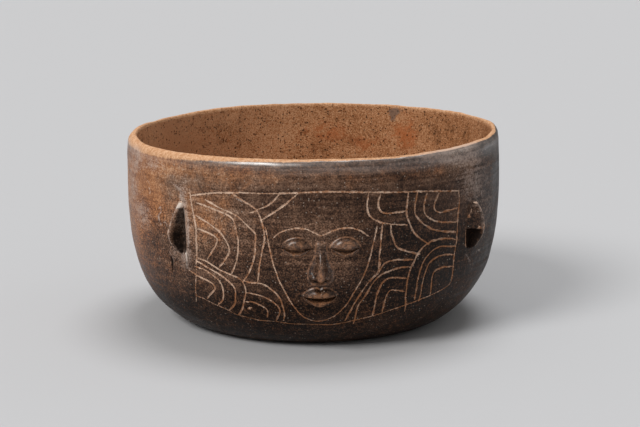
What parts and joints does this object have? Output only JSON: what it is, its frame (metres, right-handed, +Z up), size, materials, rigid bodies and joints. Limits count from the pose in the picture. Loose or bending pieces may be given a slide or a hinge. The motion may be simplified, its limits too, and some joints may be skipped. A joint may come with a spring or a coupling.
{
  "type": "bowl",
  "caption": "Low round hand-built clay bowl with a flat foot and rounded lip, a calm face in relief on its front and an ear-shaped flap at each side.",
  "frame": {"origin": "centre of the flat foot, on the surface that the bowl stands on", "axes": "+Z up through the mouth, -Y out of the front through the face, +X to the right as the face is seen"},
  "size_m": [0.2401, 0.2465, 0.1222],
  "materials": {
    "pot_clay": "burnished, fire-clouded brown outside and sandy orange-brown inside",
    "face_clay": "burnished dark brown, paler where it is worn",
    "ear_clay": "burnished grey-brown with worn edges"
  },
  "bodies": {
    "root": {"bowl_body": "pot_clay", "nose": "face_clay", "left_upper_eyelid": "face_clay", "left_lower_eyelid": "face_clay", "right_upper_eyelid": "face_clay", "right_lower_eyelid": "face_clay", "upper_lip": "face_clay", "lower_lip": "face_clay", "left_ear": "ear_clay", "right_ear": "ear_clay"}
  },
  "joints": []
}
